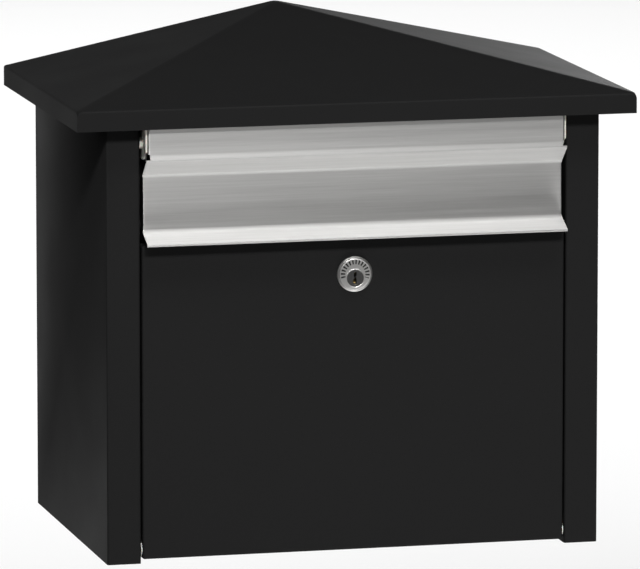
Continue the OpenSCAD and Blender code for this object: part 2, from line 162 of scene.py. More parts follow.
class StudioSizes(bpy.types.PropertyGroup):
    """Camera, floor and lights."""

    yaw: FloatProperty(
        name="Yaw", description="Camera's turn to the right of straight on", subtype="ANGLE",
        default=math.radians(14.0),
    )
    pitch: FloatProperty(
        name="Pitch", description="Camera's tilt below the horizon", subtype="ANGLE",
        default=math.radians(9.27),
    )
    lens: FloatProperty(
        name="Focal length", description="Of the camera, in millimetres", default=418.6,
        unit="CAMERA",
    )
    camera: FloatVectorProperty(
        name="Camera", description="Place of the camera from the middle of the foot at the wall",
        subtype="TRANSLATION", size=3, default=(-1.341, -5.524, 1.091),
    )
    floor_drop: FloatProperty(
        name="Floor", description="Distance of the floor below the box", default=0.9, unit="LENGTH"
    )


GROUPS = {
    "mailbox_sheet": SheetSizes,
    "mailbox_roof": RoofSizes,
    "mailbox_flap": FlapSizes,
    "mailbox_lock": LockSizes,
    "mailbox_finishes": Finishes,
    "mailbox_studio": StudioSizes,
}


# ---- workshop: how a piece is started, folded, cut and finished ----


def object_mode():
    if bpy.context.mode != "OBJECT":
        bpy.ops.object.mode_set(mode="OBJECT")


def only(piece):
    """Selects one piece and nothing else."""
    object_mode()
    bpy.ops.object.select_all(action="DESELECT")
    piece.select_set(True)
    bpy.context.view_layer.objects.active = piece


def edit(piece):
    """Edit mode on one piece."""
    only(piece)
    bpy.ops.object.mode_set(mode="EDIT")


def deselect():
    object_mode()
    bpy.ops.object.select_all(action="DESELECT")


def select_all():
    bpy.ops.mesh.select_all(action="SELECT")


def make_consistent():
    """In edit mode, turns all faces outward."""
    select_all()
    bpy.ops.mesh.normals_make_consistent(inside=False)


def same(a, b, gap=1e-6):
    return abs(a - b) < gap


def placed(name):
    """Names the new active object and moves its place into its mesh."""
    piece = bpy.context.active_object
    piece.name = piece.data.name = name
    bpy.ops.object.transform_apply(location=True, rotation=True, scale=True)
    return piece


def pick(piece, kind, test):
    """In edit mode, selects the vertices, edges or faces whose middle passes the test."""
    bpy.ops.mesh.select_mode(type=kind)
    bpy.ops.mesh.select_all(action="DESELECT")
    mesh = bmesh.from_edit_mesh(piece.data)
    if kind == "VERT":
        chosen = [v for v in mesh.verts if test(v.co)]
    elif kind == "EDGE":
        chosen = [e for e in mesh.edges if test((e.verts[0].co + e.verts[1].co) / 2, e)]
    else:
        chosen = [f for f in mesh.faces if test(f.calc_center_median(), f)]
    for item in chosen:
        item.select_set(True)
    bmesh.update_edit_mesh(piece.data)
    return len(chosen)


def near(a, b, gap=2e-5):
    return (a - b).length < gap


def plate(name, start, along, across):
    """A flat plate: a plane at its size and place, from a corner and its two sides."""
    deselect()
    normal = along.cross(across).normalized()
    turn = Matrix((along.normalized(), across.normalized(), normal)).transposed()
    bpy.ops.mesh.primitive_plane_add(
        size=1, location=start + (along + across) / 2, rotation=turn.to_euler()
    )
    bpy.context.active_object.scale = (along.length, across.length, 1)
    return placed(name)


def extrude(offset):
    bpy.ops.mesh.extrude_region_move(TRANSFORM_OT_translate={"value": offset})


def folded(name, spine, run, bends):
    """A sheet folded along parallel lines: a plate drawn on edge by edge, its folds rounded."""
    piece = plate(name, spine[0], spine[1] - spine[0], run)
    edit(piece)
    pick(piece, "EDGE", lambda middle, edge: near(middle, spine[1] + run / 2))
    for here, there in zip(spine[1:], spine[2:]):
        extrude(there - here)
    for corner, radius in zip(spine[1:-1], bends):
        round_edges(piece, radius, lambda middle, edge, c=corner: near(middle, c + run / 2))
    object_mode()
    return piece


def round_edges(piece, radius, test, segments=5):
    """In edit mode, rounds the edges that pass the test."""
    if pick(piece, "EDGE", test):
        bpy.ops.mesh.bevel(offset=radius, segments=segments, profile=0.5, affect="EDGES")


def face_out(piece, place, outward):
    """Turns a sheet's faces so that the one nearest to a place looks outward."""
    edit(piece)
    make_consistent()
    mesh = bmesh.from_edit_mesh(piece.data)
    nearest = min(mesh.faces, key=lambda f: (f.calc_center_median() - place).length)
    if nearest.normal.dot(outward) < 0:
        bpy.ops.mesh.flip_normals()
    object_mode()


def apply_modifier(piece, kind, **settings):
    only(piece)
    bpy.ops.object.modifier_add(type=kind)
    modifier = piece.modifiers[-1]
    for key, value in settings.items():
        setattr(modifier, key, value)
    bpy.ops.object.modifier_apply(modifier=modifier.name)


def thicken(piece, thickness):
    """Gives a sheet its thickness, behind the face that looks outward."""
    apply_modifier(
        piece, "SOLIDIFY", thickness=thickness, offset=-1, use_even_offset=True,
        use_quality_normals=False,
    )


def combine(piece, other, operation):
    """Joins, cuts or keeps what is common with another solid, which is used up."""
    apply_modifier(piece, "BOOLEAN", operation=operation, object=other, solver="EXACT")
    bpy.data.objects.remove(other)


def finish_edges(piece, radius, angle=35):
    """Rounds what is still sharp and shades the piece smooth."""
    if radius:
        apply_modifier(
            piece, "BEVEL", width=radius, segments=2, limit_method="ANGLE",
            angle_limit=math.radians(angle), use_clamp_overlap=True, harden_normals=False,
        )
    only(piece)
    bpy.ops.object.shade_smooth_by_angle(angle=math.radians(40))
    apply_modifier(piece, "WEIGHTED_NORMAL", keep_sharp=True, weight=50)


def block(name, low, high):
    """A cube at its size and place."""
    deselect()
    bpy.ops.mesh.primitive_cube_add(size=1, location=(low + high) / 2)
    bpy.context.active_object.scale = high - low
    return placed(name)


def rod(name, start, end, radius, sides=48):
    """A cylinder from one point to another."""
    deselect()
    bpy.ops.mesh.primitive_cylinder_add(
        vertices=sides, radius=radius, depth=(end - start).length, location=(start + end) / 2,
        rotation=(end - start).to_track_quat("Z", "Y").to_euler(),
    )
    return placed(name)


def trace(name, points):
    """A line of edges through the points: one corner of a plane, drawn on point by point."""
    deselect()
    bpy.ops.mesh.primitive_plane_add(size=MM, location=points[0])
    piece = placed(name)
    edit(piece)
    bpy.ops.mesh.select_mode(type="VERT")
    select_all()
    bpy.ops.mesh.merge(type="CENTER")
    for here, there in zip(points, points[1:]):
        extrude(there - here)
    return piece


def cut_plate(name, outline, thickness):
    """A plate cut to an outline, with its thickness given as an offset."""
    piece = trace(name, outline)
    select_all()
    bpy.ops.mesh.edge_face_add()
    select_all()
    extrude(thickness)
    make_consistent()
    object_mode()
    return piece


def turned(name, profile, centre, axis, steps=48):
    """A part turned on a lathe: a profile spun round its axis."""
    piece = trace(name, profile)
    select_all()
    bpy.ops.mesh.spin(steps=steps, angle=math.tau, center=centre, axis=axis)
    select_all()
    bpy.ops.mesh.remove_doubles(threshold=1e-6)
    make_consistent()
    object_mode()
    return piece


def turned_on_y(name, centre, profile, steps=48):
    """A part turned round an axis along Y, from radii and places along the axis."""
    points = [Vector((centre.x + radius, y, centre.z)) for radius, y in profile]
    return turned(name, points, (centre.x, 0, centre.z), Y, steps)


def bar(name, centre, half_x, half_z, start_y, end_y):
    """A rectangular bar along Y round a centre."""
    return block(
        name, Vector((centre.x - half_x, start_y, centre.z - half_z)),
        Vector((centre.x + half_x, end_y, centre.z + half_z)),
    )


def drill(piece, spot, along, radius):
    """Drills a hole at a spot: along reaches as far to either side as the drill does."""
    combine(piece, rod("hole", spot - along, spot + along, radius), "DIFFERENCE")


def joined(name, parts):
    """Several solids of one piece as one object."""
    deselect()
    for part in parts:
        part.select_set(True)
    bpy.context.view_layer.objects.active = parts[0]
    bpy.ops.object.join()
    piece = bpy.context.active_object
    piece.name = piece.data.name = name
    return piece


def mirrored(name, piece):
    """A copy of a piece for the other side, with its own mesh."""
    only(piece)
    bpy.ops.object.duplicate()
    twin = bpy.context.active_object
    twin.name = twin.data.name = name
    edit(twin)
    select_all()
    bpy.ops.transform.mirror(
        constraint_axis=(True, False, False), orient_type="GLOBAL", center_override=(0, 0, 0)
    )
    make_consistent()
    object_mode()
    return twin


def both_sides(name, part):
    """A part and its mirrored copy as one object."""
    return joined(name, [part, mirrored("left", part)])


def fit_piece(piece, body, finish, *nodes):
    """Gives a finished piece its material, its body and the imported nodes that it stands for."""
    piece.data.materials.clear()
    piece.data.materials.append(finish_of(finish))
    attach(piece, body)
    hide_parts(*nodes)


# ---- finishes ----


class Shade:
    """A material being built from nodes."""

    def __init__(self, name):
        self.material = bpy.data.materials.new(name)
        self.material.use_nodes = True
        self.tree = self.material.node_tree
        self.shader = self.tree.nodes["Principled BSDF"]

    def set(self, **values):
        for key, value in values.items():
            self.shader.inputs[key.replace("_", " ")].default_value = value
        return self

    def add(self, kind, inputs=(), **settings):
        """A node, with its settings and what goes into its inputs by number or name."""
        node = self.tree.nodes.new("ShaderNode" + kind)
        for key, value in settings.items():
            setattr(node, key, value)
        for key, value in dict(inputs).items():
            if isinstance(value, bpy.types.NodeSocket):
                self.tree.links.new(value, node.inputs[key])
            else:
                node.inputs[key].default_value = value
        return node

    def wire(self, source, target):
        self.tree.links.new(source, self.shader.inputs[target])

    def compute(self, operation, first, second):
        return self.add("Math", {0: first, 1: second}, operation=operation).outputs[0]

    def place(self, scale):
        """Object coordinates in metres, times a scale for each axis."""
        where = self.add("TexCoord").outputs["Object"]
        return self.add("Mapping", {"Vector": where, "Scale": scale}).outputs["Vector"]

    def around(self, centre):
        """Object coordinates, and how far they are from a centre when flattened along Y."""
        where = self.add("TexCoord").outputs["Object"]
        flat = self.add("Mapping", {"Vector": where, "Location": -centre, "Scale": (1, 0, 1)})
        distance = self.add("VectorMath", {0: flat.outputs[0]}, operation="LENGTH")
        return where, distance.outputs["Value"]

    def noise(self, scale, detail=3, roughness=0.5, stretch=(1, 1, 1)):
        inputs = {"Scale": scale, "Detail": detail, "Roughness": roughness}
        return self.add("TexNoise", {"Vector": self.place(stretch), **inputs}).outputs["Fac"]

    def spread(self, source, low, high, start=0.3, stop=0.7):
        """Turns a pattern between start and stop into a value between low and high."""
        return self.add(
            "MapRange", {0: source, 1: start, 2: stop, 3: low, 4: high}
        ).outputs["Result"]

    def blend_colours(self, factor, first, second):
        mix = self.add("Mix", data_type="RGBA")
        self.tree.links.new(factor, mix.inputs[0])
        mix.inputs[6].default_value = (*first, 1)
        mix.inputs[7].default_value = (*second, 1)
        return mix.outputs[2]

    def tint(self, pattern, colour, dark, light):
        """The base colour, darker and lighter with a pattern."""
        first, second = ([channel * part for channel in colour] for part in (dark, light))
        self.wire(self.blend_colours(pattern, first, second), "Base Color")

    def bump(self, height, distance, strength=1.0, normal=None):
        inputs = {"Height": height, "Distance": distance, "Strength": strength}
        if normal is not None:
            inputs["Normal"] = normal
        return self.add("Bump", inputs).outputs["Normal"]


def powder_coat(name="powder_coat"):
    """Satin powder coat: faint orange peel, a fine grain and a slow change of sheen."""
    looks = bpy.context.scene.mailbox_finishes
    shade = Shade(name)
    grain = shade.noise(2600, detail=2)
    peel = shade.noise(520, detail=1)
    haze = shade.noise(11, detail=3)
    shade.tint(shade.spread(grain, 0, 1), looks.coat, 0.86, 1.16)
    rough = looks.coat_roughness
    shade.wire(shade.spread(haze, rough - 0.035, rough + 0.035), "Roughness")
    rounded = shade.bump(peel, 0.00002)
    shade.wire(shade.bump(grain, 0.000006, normal=rounded), "Normal")
    return shade.set(IOR=1.45, Specular_IOR_Level=0.08).material


def brushed_stainless(name="brushed_stainless"):
    """Stainless steel brushed along its length: long fine scratches in bands."""
    looks = bpy.context.scene.mailbox_finishes
    shade = Shade(name)
    fine = shade.noise(1, detail=4, roughness=0.65, stretch=(26, 2600, 2600))
    bands = shade.noise(1, detail=3, roughness=0.6, stretch=(7, 620, 620))
    cloud = shade.noise(9, detail=2)
    both = shade.compute("ADD", fine, bands)
    shade.tint(shade.spread(both, 0, 1, 0.7, 1.3), looks.stainless, 0.90, 1.06)
    rough = looks.stainless_roughness
    shade.wire(shade.spread(bands, rough - 0.03, rough + 0.03), "Roughness")
    scratched = shade.bump(fine, 0.000006, 0.5)
    shade.wire(shade.bump(cloud, 0.00005, 0.2, scratched), "Normal")
    shade.set(Metallic=1.0, Anisotropic=0.88, Anisotropic_Rotation=0.25)
    # the brushing follows the sheet round its folds: level on the front, back along the ears
    facing = shade.add("NewGeometry").outputs["Normal"]
    along = shade.add("VectorMath", {0: facing, 1: (0.05, 0, 1)}, operation="CROSS_PRODUCT")
    shade.wire(along.outputs[0], "Tangent")
    return shade.material


def plated(name, colour, roughness):
    """A plated metal with a faint grain."""
    shade = Shade(name)
    speck = shade.noise(900, detail=3)
    smear = shade.noise(60, detail=3)
    shade.tint(shade.spread(smear, 0, 1), colour, 0.92, 1.08)
    shade.wire(shade.spread(speck, roughness * 0.8, roughness * 1.25), "Roughness")
    shade.wire(shade.bump(speck, 0.000004), "Normal")
    return shade.set(Metallic=1.0).material


def metal_with_painted_mark_shade(name, colour, roughness, axis, face_y):
    """Satin plating, with painted shade: near black where the marks of a turned face are sunk below its band."""
    shade = Shade(name)
    where, radius = shade.around(Vector((axis.x, 0, axis.z)))
    depth = shade.add("SeparateXYZ", {"Vector": where}).outputs["Y"]
    within = shade.compute("LESS_THAN", radius, (RING_BAND[1] + 0.2) * MM)
    below = shade.compute("GREATER_THAN", depth, face_y + 0.55 * MM)
    sunk = shade.compute("MULTIPLY", within, below)
    # painted shade: the sunk marks' colour is taken almost to black, standing in for shade in the recesses
    shade.tint(sunk, colour, 1, 0.06)
    shade.wire(shade.spread(sunk, roughness, 0.6), "Roughness")
    speck = shade.noise(900, detail=3)
    shade.wire(shade.bump(speck, 0.000002), "Normal")
    return shade.set(Metallic=1.0).material


def turned_metal(name, colour, roughness, centre):
    """Satin metal with a faint turned grain round a centre."""
    shade = Shade(name)
    radius = shade.around(centre)[1]
    rings = shade.add(
        "TexNoise", {"W": radius, "Scale": 5200, "Detail": 2}, noise_dimensions="1D"
    ).outputs["Fac"]
    shade.tint(shade.spread(rings, 0, 1), colour, 0.82, 1.15)
    shade.wire(shade.spread(rings, roughness - 0.06, roughness + 0.06), "Roughness")
    shade.wire(shade.bump(rings, 0.00001, 0.6), "Normal")
    return shade.set(Metallic=1.0).material


def moulded(name, colour, roughness, grain_scale, depth, subsurface=0.0):
    """A moulded plastic or rubber with a fine matt grain."""
    shade = Shade(name)
    grain = shade.noise(grain_scale, detail=2)
    shade.tint(shade.spread(grain, 0, 1), colour, 0.9, 1.1)
    shade.wire(shade.spread(grain, roughness - 0.06, roughness + 0.06), "Roughness")
    shade.wire(shade.bump(grain, depth), "Normal")
    return shade.set(Subsurface_Weight=subsurface, Subsurface_Scale=0.001).material


FINISHES = {}


def finish_of(kind):
    """A finish's material, made the first time it is asked for."""
    makers = {
        "coat": powder_coat,
        "stainless": brushed_stainless,
        "zinc": lambda: plated("zinc_plate", (0.52, 0.54, 0.57), 0.3),
        "lock_face": lambda: metal_with_painted_mark_shade(
            "nickel_painted_shade_in_marks", (0.86, 0.85, 0.83), 0.4, lock_centre(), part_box("lock_housing")[0].y
        ),
        "plug": lambda: turned_metal("satin_nickel", (0.19, 0.19, 0.187), 0.42, plug_axis()),
        "nylon": lambda: moulded("natural_nylon", (0.80, 0.78, 0.71), 0.5, 1500, 0.000008, 0.1),
        "rubber": lambda: moulded("black_rubber", (0.02, 0.02, 0.02), 0.75, 1800, 0.00002),
        "brass": lambda: plated("wafer_brass", (0.70, 0.50, 0.20), 0.32),
    }
    if kind not in FINISHES:
        FINISHES[kind] = makers[kind]()
    return FINISHES[kind]


def plug_axis():
    return Vector(JOINTS["lock_turn"]["pos_m"])


# ---- box ----


class MAILBOX_OT_side_panels(bpy.types.Operator):
    """Folds each side panel with its column, return, door stop and top flange."""

    bl_idname = "mailbox.side_panels"
    bl_label = "Side panels"

    def execute(self, context):
        sheet = context.scene.mailbox_sheet
        inner = HALF_W - sheet.column
        back = FRONT_Y + sheet.column_return
        spine = [
            Vector((inner, back, FOOT_Z)), Vector((inner, FRONT_Y, FOOT_Z)),
            Vector((HALF_W, FRONT_Y, FOOT_Z)), Vector((HALF_W, 0, FOOT_Z)),
        ]
        panel = folded("right_side_panel_folded", spine, Z * (TOP_Z - FOOT_Z), [sheet.bend] * 2)
        self.add_door_stop(panel, inner, back, sheet)
        self.add_top_flange(panel, sheet)
        face_out(panel, Vector((HALF_W, FRONT_Y / 2, 0)), X)
        thicken(panel, sheet.thickness)
        self.punch(panel)
        finish_edges(panel, sheet.edge)
        twin = mirrored("left_side_panel_folded", panel)
        for piece, node in ((panel, "right_side_panel"), (twin, "left_side_panel")):
            fit_piece(piece, "housing", "coat", node)
        return {"FINISHED"}

    def add_door_stop(self, panel, inner, back, sheet):
        """Bends the middle of the return's rear edge inward, behind the door's flange."""
        stop_low = FOOT_Z + 24 * MM
        stop_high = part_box("door_panel")[1].z - 2 * MM
        edit(panel)
        for height in (stop_low, stop_high):
            pick(panel, "FACE", lambda middle, face: same(middle.x, inner))
            bpy.ops.mesh.bisect(plane_co=(0, 0, height), plane_no=Z)
        pick(
            panel, "EDGE",
            lambda middle, edge: near(middle, Vector((inner, back, (stop_low + stop_high) / 2))),
        )
        extrude(X * (SIDE_LOW.x - inner))
        object_mode()

    def add_top_flange(self, panel, sheet):
        edit(panel)
        pick(
            panel, "EDGE",
            lambda middle, edge: same(middle.z, TOP_Z) and same(middle.x, HALF_W)
            and edge.calc_length() > sheet.column,
        )
        extrude(-X * (sheet.top_flange + sheet.thickness))
        object_mode()

    def punch(self, panel):
        """Holes for the hinge pins in the return and the roof screws in the top flange."""
        for node, radius in (("flap_pin_right", FLAP_PIN), ("door_pin_right", DOOR_PIN)):
            low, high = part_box(node)
            drill(panel, (low + high) / 2, X * 9 * MM, radius * MM)
        for spot in roof_screw_spots():
            drill(panel, spot, Z * 6 * MM, ROOF_SCREW_HOLE * MM)


def roof_screw_spots():
    """Where the right side's roof screws pass through the top flange."""
    low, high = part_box("roof_screws")
    inset = 4.75 * MM
    return [Vector((high.x - inset, y, TOP_Z)) for y in (low.y + inset, high.y - inset)]


def pan(name, start, along, across, depth, closed=False):
    """A plate with flanges of the same depth on three sides, or on all four where it is closed."""
    piece = plate(name, start, along, across)
    edit(piece)
    sides = [start + across / 2, start + along + across / 2, start + across + along / 2]
    if closed:
        sides.append(start + along / 2)
    pick(piece, "EDGE", lambda middle, edge: any(near(middle, side) for side in sides))
    extrude(depth)
    object_mode()
    return piece


def round_folds(panel, radius, axis, level):
    """Rounds the folds of a pan round the plate that lies at a level of an axis."""
    edit(panel)
    round_edges(
        panel, radius, lambda middle, edge: same(middle[axis], level) and not edge.is_boundary
    )


class MAILBOX_OT_back_panel(bpy.types.Operator):
    """Folds the back panel and punches its four wall holes."""

    bl_idname = "mailbox.back_panel"
    bl_label = "Back panel"

    def execute(self, context):
        sheet = context.scene.mailbox_sheet
        low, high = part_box("back_panel")
        start = Vector((low.x, 0, low.z))
        width = X * (high.x - low.x)
        height = Z * (high.z - low.z)
        panel = pan("back_panel_folded", start, width, height, Y * low.y)
        round_folds(panel, sheet.bend, 1, 0)
        object_mode()
        face_out(panel, Vector((0, 0, 0)), Y)
        thicken(panel, sheet.thickness)
        holes = next(m for m in frame["record"]["mounts"] if m["name"] == "wall_bolts")["dims"]
        for side in (-1, 1):
            for row in (-1, 1):
                spot = Vector((side * holes["spacing_x_mm"], 0, row * holes["spacing_y_mm"]))
                drill(panel, spot * MM / 2, Y * 10 * MM, holes["hole_r_mm"] * MM)
        finish_edges(panel, sheet.edge)
        fit_piece(panel, "housing", "coat", "back_panel")
        return {"FINISHED"}


class MAILBOX_OT_floor_pan(bpy.types.Operator):
    """Folds the raised floor with its tongue between the door's flanges."""

    bl_idname = "mailbox.floor_pan"
    bl_label = "Floor pan"

    def execute(self, context):
        sheet = context.scene.mailbox_sheet
        low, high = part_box("floor_pan")
        shelf_front = FRONT_Y + 18.5 * MM
        tongue_half = 159.3 * MM
        start = Vector((low.x, shelf_front, high.z))
        panel = pan(
            "floor_pan_folded", start, X * (high.x - low.x), Y * (high.y - shelf_front),
            Z * (low.z - high.z),
        )
        round_folds(panel, sheet.bend, 2, high.z)
        for side in (-tongue_half, tongue_half):
            pick(panel, "FACE", lambda middle, face: same(middle.z, high.z))
            bpy.ops.mesh.bisect(plane_co=(side, 0, 0), plane_no=X)
        pick(panel, "EDGE", lambda middle, edge: near(middle, Vector((0, shelf_front, high.z))))
        extrude(-Y * (shelf_front - low.y))
        object_mode()
        face_out(panel, Vector((0, FRONT_Y / 2, high.z)), Z)
        thicken(panel, sheet.thickness)
        finish_edges(panel, sheet.edge)
        fit_piece(panel, "housing", "coat", "floor_pan")
        return {"FINISHED"}


class MAILBOX_OT_header(bpy.types.Operator):
    """Folds the header behind the flap and cuts its mail slot with rounded corners."""

    bl_idname = "mailbox.header"
    bl_label = "Header with mail slot"

    def execute(self, context):
        sheet = context.scene.mailbox_sheet
        low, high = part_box("front_header")
        panel = pan(
            "front_header_folded", low, X * (high.x - low.x), Z * (high.z - low.z),
            Y * (high.y - low.y),
        )
        round_folds(panel, sheet.bend, 1, low.y)
        object_mode()
        face_out(panel, Vector((0, low.y, 0.1)), -Y)
        thicken(panel, sheet.thickness)
        slot_half, slot_foot, slot_top, slot_corner = 150 * MM, 258 * MM, 302 * MM, 4 * MM
        through = 10 * MM
        slot = block(
            "slot", Vector((-slot_half, low.y - through, FOOT_Z + slot_foot)),
            Vector((slot_half, low.y + through, FOOT_Z + slot_top)),
        )
        edit(slot)
        round_edges(
            slot, slot_corner,
            lambda middle, edge: same(middle.y, low.y) and edge.calc_length() < 3 * through,
        )
        object_mode()
        combine(panel, slot, "DIFFERENCE")
        bumper_low, bumper_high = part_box("flap_bumpers")
        for side in (-1, 1):
            x = side * (bumper_high.x - BUMPER_HEAD * MM)
            spot = Vector((x, low.y, (bumper_low.z + bumper_high.z) / 2))
            drill(panel, spot, Y * 10 * MM, BUMPER_NECK * MM)
        finish_edges(panel, sheet.edge)
        fit_piece(panel, "housing", "coat", "front_header")
        return {"FINISHED"}


# ---- roof ----


class MAILBOX_OT_roof(bpy.types.Operator):
    """Draws the hipped roof up from a flat plate, folds its fascia down and closes its rear."""

    bl_idname = "mailbox.roof"
    bl_label = "Roof"

    def execute(self, context):
        roof = context.scene.mailbox_roof
        sheet = context.scene.mailbox_sheet
        low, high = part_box("roof_cap")
        eave = low.z + roof.fascia
        width, run = X * (high.x - low.x), Y * (high.y - low.y)
        cap = plate("roof_cap_folded", Vector((low.x, low.y, eave)), width, run)
        edit(cap)
        select_all()
        bpy.ops.mesh.bisect(plane_co=(0, 0, 0), plane_no=X)
        # the middle of the front edge goes back and up to the peak, and the rear one straight up
        pick(cap, "VERT", lambda co: same(co.x, 0) and same(co.y, low.y))
        bpy.ops.transform.translate(value=(0, -low.y - roof.peak_inset, high.z - eave))
        pick(cap, "VERT", lambda co: same(co.x, 0) and same(co.y, 0))
        bpy.ops.transform.translate(value=(0, 0, high.z - eave))
        pick(cap, "VERT", lambda co: same(co.y, low.y) or same(co.y, -roof.peak_inset))
        bpy.ops.mesh.edge_face_add()
        # fascia on the front and both sides, then the gable at the wall
        pick(cap, "EDGE", lambda middle, edge: same(middle.z, eave))
        extrude(-Z * roof.fascia)
        pick(cap, "EDGE", lambda middle, edge: edge.is_boundary and same(middle.y, 0))
        bpy.ops.mesh.edge_face_add()
        self.round_hips(cap, roof, eave)
        object_mode()
        face_out(cap, Vector((low.x, FRONT_Y / 2, low.z)), -X)
        thicken(cap, sheet.thickness)
        gap = 0.3 * MM
        notch = block(
            "notch", Vector((-HALF_W - gap, -4 * MM, low.z - 10 * MM)),
            Vector((HALF_W + gap, 10 * MM, TOP_Z + gap)),
        )
        combine(cap, notch, "DIFFERENCE")
        finish_edges(cap, sheet.edge)
        fit_piece(cap, "housing", "coat", "roof_cap")
        return {"FINISHED"}

    def round_hips(self, cap, roof, eave):
        """Rounds the hips and ridge, then the eaves."""
        round_edges(
            cap, roof.hip_bend,
            lambda middle, edge: middle.z > eave + 1e-4 and not edge.is_boundary
            and middle.y < -1e-4 and edge.calc_face_angle(0) > 0.02, 4,
        )
        round_edges(
            cap, roof.eave_bend,
            lambda middle, edge: same(middle.z, eave, 1e-5) and middle.y < -1e-4
            and edge.calc_face_angle(0) > 0.5, 4,
        )


class MAILBOX_OT_roof_fixings(bpy.types.Operator):
    """Brackets under the roof with their screws and weld nuts."""

    bl_idname = "mailbox.roof_fixings"
    bl_label = "Roof brackets, screws and nuts"

    def execute(self, context):
        sheet = context.scene.mailbox_sheet
        low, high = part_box("roof_bracket_right")
        spine = [Vector((high.x, low.y, low.z)), low, Vector((low.x, low.y, high.z))]
        bracket = folded("roof_bracket_right_folded", spine, Y * (high.y - low.y), [sheet.bend])
        face_out(bracket, (spine[0] + spine[1]) / 2, -Z)
        thicken(bracket, sheet.thickness)
        for spot in roof_screw_spots():
            drill(bracket, spot, Z * 6 * MM, ROOF_SCREW_HOLE * MM)
        finish_edges(bracket, sheet.edge)
        twin = mirrored("roof_bracket_left_folded", bracket)
        fit_piece(bracket, "housing", "coat", "roof_bracket_right")
        fit_piece(twin, "housing", "coat", "roof_bracket_left")
        screws = self.four("roof_screws_turned", self.screw)
        nuts = self.four("roof_nuts_pressed", self.nut)
        fit_piece(screws, "housing", "zinc", "roof_screws")
        fit_piece(nuts, "housing", "zinc", "roof_nuts")
        return {"FINISHED"}

    def four(self, name, make):
        """One of a fastener at each roof screw's place."""
        return both_sides(name, joined(name, [make(spot) for spot in roof_screw_spots()]))

    def screw(self, spot):
        """Pan head screw, head down, with a cross recess."""
        low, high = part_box("roof_screws")
        under = TOP_Z - 1.5 * MM
        profile = [
            (0, low.z), (2.6, low.z), (3.9, low.z + 0.5 * MM), (4.55, low.z + 1.3 * MM),
            (4.75, low.z + 2.0 * MM), (4.75, under), (2.5, under),
        ]
        turns = 7
        pitch = (high.z - under) / turns
        for i in range(turns):
            profile += [(2.5, under + i * pitch), (2.1, under + (i + 0.5) * pitch)]
        profile += [(2.0, high.z), (0, high.z)]
        points = [Vector((spot.x + r * MM, spot.y, z)) for r, z in profile]
        screw = turned("roof_screw", points, (spot.x, spot.y, 0), Z, steps=32)
        for wide, deep in ((2.6, 0.45), (0.45, 2.6)):
            cross = block(
                "cross", Vector((spot.x - wide * MM, spot.y - deep * MM, low.z - 1 * MM)),
                Vector((spot.x + wide * MM, spot.y + deep * MM, low.z + 1.4 * MM)),
            )
            combine(screw, cross, "DIFFERENCE")
        finish_edges(screw, 0)
        return screw

    def nut(self, spot):
        """Hexagon weld nut with chamfered corners on top of the bracket."""
        low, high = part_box("roof_nuts")
        axis = Vector((spot.x, spot.y, 0))
        nut = rod("roof_nut", axis + Z * low.z, axis + Z * high.z, 4.6 * MM, 6)
        bore = rod("bore", axis + Z * (low.z - MM), axis + Z * (high.z + MM), 2.5 * MM, 32)
        combine(nut, bore, "DIFFERENCE")
        finish_edges(nut, 0.35 * MM)
        return nut


# ---- mail flap ----

# The flap's front face from the lip up: forward of the columns and up from the foot, in millimetres
LIP_EDGE = (14.4, 240.4)
FLAP_FOOT = (-2.0, 247.5)
FLAP_HEAD = (-3.0, 289.5)
VISOR_TIP = (11.5, 301.8)
VISOR_FOOT = (9.5, 306.0)
VISOR_TOP = (9.5, 330.0)


